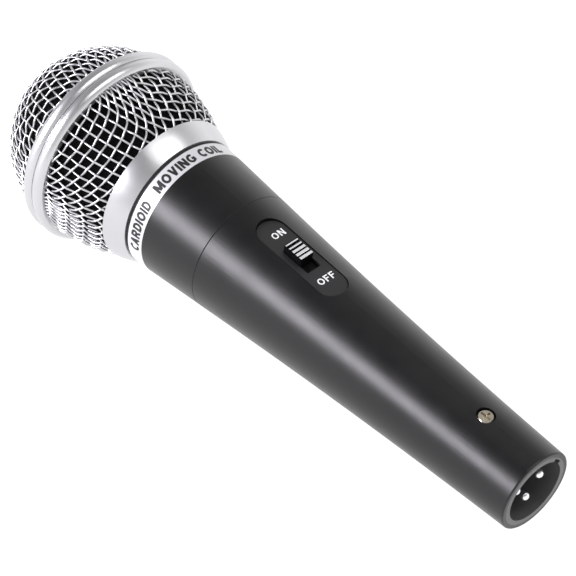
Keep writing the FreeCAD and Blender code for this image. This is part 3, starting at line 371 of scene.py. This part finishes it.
class Surface:
    """A surface of revolution about X, by the length along its outline from the pole."""

    def __init__(self, outline, outward):
        """outward is 1 or -1, the side of the outline that faces out."""
        self.outward = outward
        self.points = np.array(outline, float)
        steps = np.linalg.norm(np.diff(self.points, axis=0), axis=1)
        self.lengths = np.concatenate([[0.0], np.cumsum(steps)])
        self.total = self.lengths[-1]
        way = self.points[-1] - self.points[-2]
        self.way = way / np.linalg.norm(way)

    def at(self, s):
        """x and radius at lengths s, carried on straight beyond the last point."""
        beyond = np.maximum(np.asarray(s) - self.total, 0)
        x = np.interp(s, self.lengths, self.points[:, 0]) + beyond * self.way[0]
        r = np.interp(s, self.lengths, self.points[:, 1]) + beyond * self.way[1]
        return x, r

    def spot(self, s, angle):
        """Points as a 3 by n array."""
        x, r = self.at(s)
        return np.array([x, r * np.sin(angle), r * np.cos(angle)])

    def normals(self, s, angle):
        """Outward normals as a 3 by n array."""
        low = np.maximum(np.asarray(s) - NORMAL_STEP, 0.0)
        x0, r0 = self.at(low)
        x1, r1 = self.at(low + 2 * NORMAL_STEP)
        size = np.hypot(x1 - x0, r1 - r0)
        along_x, along_r = (x1 - x0) / size, (r1 - r0) / size
        radial = self.outward * along_x
        return np.array([-self.outward * along_r, radial * np.sin(angle), radial * np.cos(angle)])


def quarter_net(surface, step, between, count):
    """A net of equal steps whose first two threads cross at the pole at the angle between.
    Returns the outline length and the angle of each crossing of the quarter between them."""
    s = np.full((count + 1, count + 1), np.nan)
    angle = s.copy()
    s[0, :] = s[:, 0] = np.arange(count + 1) * step
    angle[:, 0] = 0.0
    angle[0, 1:] = between
    for diagonal in range(2, 2 * count + 1):
        i = np.arange(max(1, diagonal - count), min(count, diagonal - 1) + 1)
        j = diagonal - i
        sa, fa, sb, fb = s[i - 1, j], angle[i - 1, j], s[i, j - 1], angle[i, j - 1]
        s0, f0 = s[i - 1, j - 1], angle[i - 1, j - 1]
        known = ~(np.isnan(sa) | np.isnan(sb) | np.isnan(s0))
        flat_x = sa * np.cos(fa) + sb * np.cos(fb) - s0 * np.cos(f0)
        flat_y = sa * np.sin(fa) + sb * np.sin(fb) - s0 * np.sin(f0)
        near = s0 < NEAR_POLE
        here = np.where(near, np.hypot(flat_x, flat_y), np.maximum(sa, sb) + step / 2)
        turn = np.where(near, np.arctan2(flat_y, flat_x), (fa + fb) / 2)
        spot_a, spot_b = surface.spot(sa, fa), surface.spot(sb, fb)

        def misses(lengths, angles):
            spots = surface.spot(lengths, angles)
            return (np.linalg.norm(spots - spot_a, axis=0) - step,
                    np.linalg.norm(spots - spot_b, axis=0) - step)

        for _ in range(NEWTON_ROUNDS):
            ea, eb = misses(here, turn)
            ea_s, eb_s = misses(here + NUDGE, turn)
            ea_f, eb_f = misses(here, turn + NUDGE_ANGLE)
            a, b = (ea_s - ea) / NUDGE, (ea_f - ea) / NUDGE_ANGLE
            c, d = (eb_s - eb) / NUDGE, (eb_f - eb) / NUDGE_ANGLE
            size = a * d - b * c
            size = np.where(np.abs(size) < NO_SLOPE, np.nan, size)
            here = here + np.clip((b * eb - d * ea) / size, -step, step)
            turn = turn + np.clip((c * ea - a * eb) / size, -MOST_TURN, MOST_TURN)
        ea, eb = misses(here, turn)
        met = np.maximum(np.abs(ea), np.abs(eb)) < MET
        good = known & met & (here < surface.total + REACH)
        s[i[good], j[good]] = here[good]
        angle[i[good], j[good]] = turn[good]
    return s, angle


def whole_net(surface, step, between):
    """The net all round, as {(i, j): (length, angle)}: opposite quarters are alike."""
    count = int(surface.total / step) + 4
    nodes = {}
    for way, gap in ((1, between), (-1, math.pi - between)):
        s, angle = quarter_net(surface, step, gap, count)
        for i, j in zip(*np.nonzero(~np.isnan(s))):
            i, j = int(i), int(j)
            turn = angle[i, j] * way
            nodes[i, j * way] = (s[i, j], turn)
            nodes[-i, -j * way] = (s[i, j], turn + math.pi)
    return nodes


def wire_runs(surface, nodes, offsets, turn):
    """Each wire as runs of (point, normal, outline length), lifted and lowered in turn."""
    reach = max(max(abs(i), abs(j)) for i, j in nodes)
    runs = []
    for family in (0, 1):
        first, second = offsets if family == 0 else reversed(offsets)
        lines = [k for k in range(-reach, reach + 1) if (k - first) % FINE == 0]
        for line in lines:
            run = []
            for k in range(-reach, reach + 2):
                key = (line, k) if family == 0 else (k, line)
                if key in nodes:
                    over = (-1) ** ((line - first) // FINE + family)
                    lift = over * math.cos(math.pi * (k - second) / FINE) * WIRE_RADIUS * LIFT_SHARE
                    s, angle = nodes[key]
                    run.append((s, angle + turn, lift))
                elif run:
                    runs.append(run)
                    run = []
    return [as_points(surface, run) for run in runs if len(run) > 2]


def as_points(surface, run):
    s, angle, lift = np.array(run).T
    normals = surface.normals(s, angle)
    spots = surface.spot(s, angle) + normals * lift
    return [(Vector(p), Vector(n), length) for p, n, length in zip(spots.T, normals.T, s)]


def trimmed(points, low, high):
    """The stretches of a wire whose outline length is between low and high, ended exactly there."""
    parts, part = [], []

    def cut_between(a, b):
        level = low if min(a[2], b[2]) < low else high
        t = (level - a[2]) / (b[2] - a[2])
        return a[0].lerp(b[0], t), a[1].lerp(b[1], t).normalized()

    for before, item in zip([None] + points, points):
        if low <= item[2] <= high:
            if before is not None and not part:
                part = [cut_between(before, item)]
            part.append((item[0], item[1]))
        elif part:
            part.append(cut_between(before, item))
            parts.append(part)
            part = []
    parts.append(part)
    return [p for p in parts if len(p) > 2]


def woven(name, surface, pitch, between, offsets, turn, low, high, replaced):
    """A woven wire piece that stands for one CAD shell of the grille."""
    nodes = whole_net(surface, pitch / FINE, between)
    paths = []
    for run in wire_runs(surface, nodes, offsets, turn):
        paths.extend(trimmed(run, low, high))
    vertices, faces = tube_mesh(paths, WIRE_RADIUS, WIRE_SIDES)
    obj = add_mesh(name, vertices, faces)
    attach(obj, "grille")
    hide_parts(replaced)
    dress(obj, "mesh_silver")
    return obj


DOME_CENTRE_X = 146.0 * MM
DOME_RADIUS = 24.3 * MM
DOME_END_X = 147.2 * MM
DOME_SPAN = math.radians(97)
DOME_PITCH = 2.59 * MM
DOME_BETWEEN = math.radians(87)
DOME_TURN = math.radians(49)

dome_middle = DOME_RADIUS - DEPTH
dome = Surface([
    (DOME_CENTRE_X + dome_middle * math.cos(a), dome_middle * math.sin(a))
    for a in np.linspace(0.0, DOME_SPAN, 300)
], outward=-1)
dome_end = dome_middle * math.acos((DOME_END_X - DOME_CENTRE_X) / dome_middle)
woven("grille_dome_net", dome, DOME_PITCH, DOME_BETWEEN, (0, 1), DOME_TURN, 0.0, dome_end, "mesh_dome")

# The lower basket is drawn from a flat piece, so its net starts at the middle of a flat bottom.
BASKET_LOW = Vector((124.7, 19.6)) * MM
BASKET_HIGH = Vector((141.3, 24.4)) * MM
BASKET_CURVE = 47.0 * MM
BASKET_CORNER = 1.5 * MM
BASKET_TURN_IN = 2.5 * MM
BASKET_PITCH = 2.65 * MM
BASKET_BETWEEN = math.radians(68)
BASKET_TURN = math.radians(61)
BASKET_TUCK_LOW = 0.6 * MM
BASKET_TUCK_HIGH = 0.8 * MM


def bulge(low, high, radius, inset, count):
    """x and radius along an arc from low to high that bulges outwards, inset from it by a depth."""
    half = (high - low).length / 2
    along = (high - low).normalized()
    inward = Vector((along.y, -along.x))
    centre = (low + high) / 2 + inward * math.sqrt(radius ** 2 - half ** 2)
    first, last = [math.atan2(p.y - centre.y, p.x - centre.x) for p in (low, high)]
    drawn = radius - inset
    turns = np.linspace(first, last, count)
    return [(centre.x + drawn * math.cos(t), centre.y + drawn * math.sin(t)) for t in turns]


side = bulge(BASKET_LOW, BASKET_HIGH, BASKET_CURVE, DEPTH, 80)
slope = (side[1][1] - side[0][1]) / (side[1][0] - side[0][0])
below = [(side[0][0] - t, side[0][1] - slope * t) for t in np.linspace(BASKET_TURN_IN, 0.1 * MM, 10)]
bottom = [(below[0][0] - BASKET_CORNER, r) for r in np.linspace(0.0, below[0][1] - BASKET_CORNER, 30)]
basket = Surface(bottom + below + side, outward=1)
basket_start = basket.lengths[len(bottom) + len(below)] - BASKET_TUCK_LOW
basket_end = basket.total + BASKET_TUCK_HIGH
woven("grille_basket_net", basket, BASKET_PITCH, BASKET_BETWEEN, (2, 1), BASKET_TURN, basket_start,
      basket_end, "mesh_lower")

# ---------------------------------------------------------------- foam linings

FOAM_WALL = 3.2 * MM
FOAM_GRID = 0.55 * MM
PORE_SIZE = 1.3 * MM
PORE_DEPTH = 0.5 * MM
PORE_EDGE = 1.8
POLE_GAP = 0.004
INNER_STEP = 6
SAME_POINT = 0.0005 * MM


def pore(spot):
    """How far the foam's skin falls in at a point, 0 on the walls between pores to 1 in them."""
    nearest = mathutils.noise.voronoi(spot / PORE_SIZE)[0]
    return min(1.0, max(0.0, (nearest[1] - nearest[0]) * PORE_EDGE))


def foam_lining(name, outside, inside, replaced):
    """A lining between two outlines of (x, radius), with open pores in its outer skin."""
    count = int(math.tau * max(r for _, r in outside) / FOAM_GRID)

    def ring(x, r, pitted):
        turns = [math.tau * k / count for k in range(count)]
        falls = [PORE_DEPTH * pore(around(x, r, turn)) if pitted else 0.0 for turn in turns]
        return [around(x, max(r - fall, 0.0), turn) for fall, turn in zip(falls, turns)]

    last = len(outside) - 1
    rings = [ring(x, r, 0 < k < last) for k, (x, r) in enumerate(outside)]
    rings += [ring(x, r, False) for x, r in inside]
    vertices = [spot for row in rings for spot in row]
    faces = []
    for row in range(len(rings)):
        following = (row + 1) % len(rings)
        for k in range(count):
            after = (k + 1) % count
            here, there = row * count, following * count
            faces.append((here + k, here + after, there + after, there + k))
    obj = add_mesh(name, vertices, faces)
    mesh = bmesh.new()
    mesh.from_mesh(obj.data)
    bmesh.ops.remove_doubles(mesh, verts=mesh.verts, dist=SAME_POINT)
    bmesh.ops.recalc_face_normals(mesh, faces=mesh.faces)
    mesh.to_mesh(obj.data)
    mesh.free()
    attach(obj, "grille")
    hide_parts(replaced)
    dress(obj, "foam_black")
    return obj


def dome_outline(radius, start_x):
    """x and radius from the dome's rear to just short of its pole."""
    first = math.acos((start_x - DOME_CENTRE_X) / radius)
    turns = np.linspace(first, POLE_GAP, int(radius * first / FOAM_GRID))
    return [(DOME_CENTRE_X + radius * math.cos(t), radius * math.sin(t)) for t in turns]


foam_low, foam_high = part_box("foam_dome")
foam_radius = foam_high[0] - DOME_CENTRE_X
foam_lining("foam_dome_lining", dome_outline(foam_radius, foam_low[0]),
            dome_outline(foam_radius - FOAM_WALL, foam_low[0])[::-INNER_STEP], "foam_dome")


FOAM_LOW = Vector((125.4, 18.9)) * MM
FOAM_HIGH = Vector((141.8, 23.0)) * MM

foam_steps = int((FOAM_HIGH - FOAM_LOW).length / FOAM_GRID)
lower_foam = bulge(FOAM_LOW, FOAM_HIGH, BASKET_CURVE, 0.0, foam_steps)
lower_inside = [(x, r - FOAM_WALL) for x, r in lower_foam[::-INNER_STEP]]
foam_lining("foam_lower_lining", lower_foam, lower_inside, "foam_lower")

# ---------------------------------------------------------------- lettering

# How far print stands up, and how much more each of four strips in turn does, so that none coincide.
FONT_RISE = 0.03 * MM
RISE_STEP = 0.12
ARC_SLICE = 12
RING_STROKE = 0.25
PLATE_STROKE = 0.165
SLICE = 0.09

# Plain block capitals: straight bars (x0, y0, x1, y1) and arcs (centre x, y, radii a, b, from, to
# in degrees), on a unit height, with each letter's width first.
LETTERS = {
    "A": (0.78, [(0.12, 0, 0.39, 1), (0.66, 0, 0.39, 1), (0.2, 0.3, 0.58, 0.3)], []),
    "C": (0.74, [], [(0.42, 0.5, 0.31, 0.39, 48, 312)]),
    "D": (0.74, [(0.11, 0, 0.11, 1), (0.11, 0.893, 0.34, 0.893), (0.11, 0.107, 0.34, 0.107)],
          [(0.34, 0.5, 0.29, 0.393, -90, 90)]),
    "F": (0.62, [(0.11, 0, 0.11, 1), (0.11, 0.893, 0.6, 0.893), (0.11, 0.5, 0.54, 0.5)], []),
    "G": (0.8, [(0.45, 0.45, 0.8, 0.45), (0.69, 0.12, 0.69, 0.5)], [(0.42, 0.5, 0.31, 0.39, 48, 322)]),
    "I": (0.22, [(0.11, 0, 0.11, 1)], []),
    "L": (0.6, [(0.11, 0, 0.11, 1), (0.11, 0.107, 0.6, 0.107)], []),
    "M": (0.94, [(0.11, 0, 0.11, 1), (0.83, 0, 0.83, 1), (0.13, 1, 0.47, 0.1),
                 (0.81, 1, 0.47, 0.1)], []),
    "N": (0.76, [(0.11, 0, 0.11, 1), (0.65, 0, 0.65, 1), (0.12, 1, 0.64, 0)], []),
    "O": (0.84, [], [(0.42, 0.5, 0.31, 0.39, 0, 360)]),
    "R": (0.76, [(0.11, 0, 0.11, 1), (0.11, 0.893, 0.4, 0.893), (0.11, 0.46, 0.4, 0.46),
                 (0.42, 0.46, 0.64, 0)],
          [(0.4, 0.676, 0.217, 0.217, -90, 90)]),
    "V": (0.76, [(0.12, 1, 0.38, 0), (0.64, 1, 0.38, 0)], []),
    " ": (0.34, [], []),
}
LETTER_GAP = 0.14


def bar_outline(x0, y0, x1, y1, stroke):
    """A bar as two edges: its ends are cut level if it is steep, else upright."""
    length = math.hypot(x1 - x0, y1 - y0)
    if abs(y1 - y0) > abs(x1 - x0):
        half = stroke / 2 * length / abs(y1 - y0)
        sides = ((-half, 0), (half, 0))
    else:
        half = stroke / 2 * length / abs(x1 - x0)
        sides = ((0, -half), (0, half))
    steps = max(2, int(length / SLICE))
    along = [(x0 + (x1 - x0) * k / steps, y0 + (y1 - y0) * k / steps) for k in range(steps + 1)]
    return [[(x + dx, y + dy) for x, y in along] for dx, dy in sides]


def arc_outline(x, y, a, b, first, last, stroke):
    """An arc as its outer and inner edges."""
    steps = max(6, int(abs(last - first) / ARC_SLICE))
    turns = [math.radians(first + (last - first) * k / steps) for k in range(steps + 1)]
    return [[(x + (a + grow) * math.cos(t), y + (b + grow) * math.sin(t)) for t in turns]
            for grow in (stroke / 2, -stroke / 2)]


def lettering(name, words, place, body, material, stroke):
    """Printed capitals as thin raised strips. place(u, v, rise) gives a point, with u along the
    words from their middle in shares of their whole length, and v up the letters from 0 to 1."""
    whole = sum(LETTERS[c][0] + LETTER_GAP for c in words) - LETTER_GAP
    vertices, faces = [], []
    pen, layer = 0.0, 0
    for letter in words:
        width, bars, arcs = LETTERS[letter]
        strips = [bar_outline(*bar, stroke) for bar in bars]
        strips += [arc_outline(*arc, stroke) for arc in arcs]
        for edges in strips:
            rise = FONT_RISE * (1 + RISE_STEP * (layer % 4))
            layer += 1
            start = len(vertices)
            for (xa, ya), (xb, yb) in zip(*edges):
                for x, y, level in ((xa, ya, 0), (xb, yb, 0), (xa, ya, rise), (xb, yb, rise)):
                    vertices.append(place((pen + x) / whole - 0.5, y, level))
            count = len(edges[0])
            for k in range(count - 1):
                a = start + 4 * k
                faces.append((a + 2, a + 3, a + 7, a + 6))
                faces.append((a, a + 4, a + 5, a + 1))
                faces.append((a, a + 2, a + 6, a + 4))
                faces.append((a + 1, a + 5, a + 7, a + 3))
            end = start + 4 * (count - 1)
            faces.append((start, start + 1, start + 3, start + 2))
            faces.append((end, end + 2, end + 3, end + 1))
        pen += width + LETTER_GAP
    obj = add_mesh(name, vertices, faces, smooth=False)
    mesh = bmesh.new()
    mesh.from_mesh(obj.data)
    bmesh.ops.recalc_face_normals(mesh, faces=mesh.faces)
    mesh.to_mesh(obj.data)
    mesh.free()
    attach(obj, body)
    obj.data.materials.append(material)
    return obj


RING_TEXT_X = 114.35 * MM
RING_TEXT_HEIGHT = 2.7 * MM
RING_LOW_X, RING_HIGH_X = 113.5 * MM, 118.2 * MM
RING_LOW_R, RING_HIGH_R = 17.3 * MM, 17.6 * MM


def ring_radius(x):
    """The label ring's outer radius at x."""
    share = (x - RING_LOW_X) / (RING_HIGH_X - RING_LOW_X)
    return RING_LOW_R + (RING_HIGH_R - RING_LOW_R) * share


def ring_text(name, words, first_deg, last_deg):
    """Lettering round the label ring from one angle to another, tops towards the grille."""
    middle = math.radians((first_deg + last_deg) / 2)
    arc = math.radians(first_deg - last_deg)

    def place(u, v, rise):
        x = RING_TEXT_X + v * RING_TEXT_HEIGHT
        return around(x, ring_radius(x) + rise, middle - u * arc)

    return lettering(name, words, place, "handle", PRINT_BLACK, RING_STROKE)


ring_text("ring_text_1", "CARDIOID", 97.0, 50.5)
ring_text("ring_text_2", "MOVING COIL", 39.5, -32.0)

SWITCH_ORIGIN = Vector((77.0, 0.0, 14.5)) * MM
SWITCH_SLOPE = math.radians(3.9)
SWITCH_U = Vector((math.cos(SWITCH_SLOPE), 0, math.sin(SWITCH_SLOPE)))
SWITCH_V = Vector((0, 1, 0))
SWITCH_N = SWITCH_U.cross(SWITCH_V)
PLATE_TOP = -0.75 * MM
PLATE_TEXT_HEIGHT = 2.0 * MM


def on_switch(u, v, n):
    """A point in the switch's own frame: u along the handle, v across, n outwards, in metres."""
    return SWITCH_ORIGIN + SWITCH_U * u + SWITCH_V * v + SWITCH_N * n


def plate_text(name, words, centre_u, centre_v, width):
    """White lettering on the switch plate, tops towards the grille."""

    def place(u, v, rise):
        along = centre_u + (v - 0.5) * PLATE_TEXT_HEIGHT
        return on_switch(along, centre_v - u * width, PLATE_TOP + rise)

    return lettering(name, words, place, "handle", PRINT_WHITE, PLATE_STROKE)


plate_text("plate_text_on", "ON", 8.9 * MM, -0.75 * MM, 3.7 * MM)
plate_text("plate_text_off", "OFF", -8.0 * MM, -0.3 * MM, 5.1 * MM)

# Silver printed strips on the tops of the knob's ribs, from the tail's side to the grille's.
RIB_TOP = 1.5 * MM
RIB_PITCH = 1.22 * MM
RIB_MIDDLE = 1.3 * MM
RIB_LENGTH = 3.9 * MM
RIB_WIDTHS = [0.74, 0.74, 0.70, 0.42, 0.36]
RIB_INSET = 0.05 * MM
RIB_RIM = 0.06 * MM
RIB_SINK = 0.05 * MM
RIB_RISE = 0.03 * MM


def rib_prints():
    """One thin slab with bevelled edges on each rib."""
    vertices, faces = [], []
    for index, width in enumerate(RIB_WIDTHS):
        middle = RIB_MIDDLE + (index - 2) * RIB_PITCH
        half, reach = width * MM / 2, RIB_LENGTH / 2 - RIB_INSET
        start = len(vertices)
        for grow, level in ((0.0, -RIB_SINK), (0.0, 0.0), (-RIB_RIM, RIB_RISE)):
            for su, sv in ((-1, -1), (1, -1), (1, 1), (-1, 1)):
                u, v = middle + su * (half + grow), sv * (reach + grow)
                vertices.append(on_switch(u, v, RIB_TOP + level))
        for ring in (0, 4):
            for k in range(4):
                a, b = start + ring + k, start + ring + (k + 1) % 4
                faces.append((a, b, b + 4, a + 4))
        faces.append(tuple(start + 8 + k for k in range(4)))
        faces.append(tuple(start + k for k in reversed(range(4))))
    obj = add_mesh("knob_rib_prints", vertices, faces, smooth=False)
    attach(obj, "slider")
    obj.data.materials.append(PRINT_SILVER)


rib_prints()

# ---------------------------------------------------------------- floor, light and camera

# The plane that the tail's edge and the ball both rest on, just below them.
FLOOR_TAIL_Z = -10.6 * MM
FLOOR_SLOPE = 0.108
FLOOR_REACH = 3.0


def plain_floor():
    """A pale floor that is about as bright as the studio's horizon."""
    corners = [(FLOOR_REACH * x, FLOOR_REACH * y) for x, y in ((-1, -1), (1, -1), (1, 1), (-1, 1))]
    vertices = [(x, y, FLOOR_TAIL_Z - FLOOR_SLOPE * x) for x, y in corners]
    obj = add_mesh("floor", vertices, [(0, 1, 2, 3)], smooth=False)
    mat, tree, shader, coords = new_material("floor_white")
    pale = two_colours(tree, noise(tree, coords, 8, 3), (0.24, 0.24, 0.24), (0.26, 0.26, 0.26))
    tree.links.new(pale, shader.inputs["Base Color"])
    shader.inputs["Roughness"].default_value = 0.9
    shader.inputs["Specular IOR Level"].default_value = 0.0
    shader.inputs["Emission Color"].default_value = (1, 1, 1, 1)
    shader.inputs["Emission Strength"].default_value = 0.93
    obj.data.materials.append(mat)


plain_floor()

CAMERA_AT = Vector((-0.23067826, 0.32869877, 0.47646231))
CAMERA_RIGHT = Vector((-0.68310799, -0.72816288, 0.05605612))
CAMERA_UP = Vector((0.55549963, -0.46822904, 0.6871548))
CAMERA_BACK = Vector((-0.47411352, 0.50054009, 0.72434521))


def turn_matrix(right, up, back):
    """The rotation whose own axes point these ways."""
    return Matrix((right, up, back)).transposed().to_4x4()


camera_data = bpy.data.cameras.new("camera")
camera_data.lens = 173.605
camera_data.sensor_width = 36.0
camera_data.clip_start = 0.01
camera_data.clip_end = 20.0
camera = bpy.data.objects.new("camera", camera_data)
camera.matrix_world = Matrix.Translation(CAMERA_AT) @ turn_matrix(CAMERA_RIGHT, CAMERA_UP, CAMERA_BACK)
bpy.context.scene.collection.objects.link(camera)
bpy.context.scene.camera = camera


MIDDLE = Vector((0.085, 0, 0))
LIGHT_DISTANCE = 1.2


def area_light(name, way, size, power, colour=(1, 1, 1)):
    """A rectangular soft light that way from the object, facing it, with its first side along X."""
    data = bpy.data.lights.new(name, "AREA")
    data.shape = "RECTANGLE"
    data.size, data.size_y = size
    data.energy = power
    data.color = colour
    obj = bpy.data.objects.new(name, data)
    obj.location = MIDDLE + way * LIGHT_DISTANCE
    back = way.normalized()
    up = back.cross(Vector((1, 0, 0))).normalized()
    obj.rotation_mode = "QUATERNION"
    obj.rotation_quaternion = turn_matrix(up.cross(back), up, back).to_quaternion()
    bpy.context.scene.collection.objects.link(obj)


area_light("long_box", Vector((0.474, 0.773, 0.422)), (0.9, 0.44), 19.0, (1.0, 0.975, 1.05))
area_light("top_box", Vector((-0.17, -0.21, 0.96)), (0.62, 0.95), 5.6)

# The studio's brightness by the sine of the height above the horizon.
STUDIO = [(0.0, 1.42), (0.39, 1.15), (0.60, 0.68), (0.77, 0.36), (0.91, 0.16), (1.0, 0.12)]
BRIGHTEST = 1.5


def studio_world():
    """A bright horizon that falls off to a dim ceiling, dimmer by the long box and past the ball."""
    world = bpy.data.worlds.new("studio")
    bpy.context.scene.world = world
    world.use_nodes = True
    tree = world.node_tree
    coords = node(tree, "ShaderNodeTexCoord")
    parts = node(tree, "ShaderNodeSeparateXYZ", [(0, coords.outputs["Generated"])])
    ramp = node(tree, "ShaderNodeValToRGB", [(0, parts.outputs["Z"])])
    elements = ramp.color_ramp.elements
    middles = [elements.new(height) for height, _ in STUDIO[1:-1]]
    for element, (_, level) in zip([elements[0], *middles, elements[-1]], STUDIO):
        element.color = (*[level / BRIGHTEST] * 3, 1)
    side = spread(tree, parts.outputs["Y"], BRIGHTEST, BRIGHTEST * 0.6, 0.2, 0.8)
    front = spread(tree, parts.outputs["X"], 1.0, 0.3, 0.55, 0.85)
    darker = node(tree, "ShaderNodeMath", [(0, side), (1, front)], operation="MULTIPLY")
    factors = [(0, ramp.outputs["Color"]), (1, darker.outputs[0])]
    strength = node(tree, "ShaderNodeMath", factors, operation="MULTIPLY")
    background = tree.nodes["Background"]
    background.inputs["Color"].default_value = (1, 1, 1, 1)
    tree.links.new(strength.outputs[0], background.inputs["Strength"])


studio_world()

bpy.context.scene.view_settings.view_transform = "Standard"
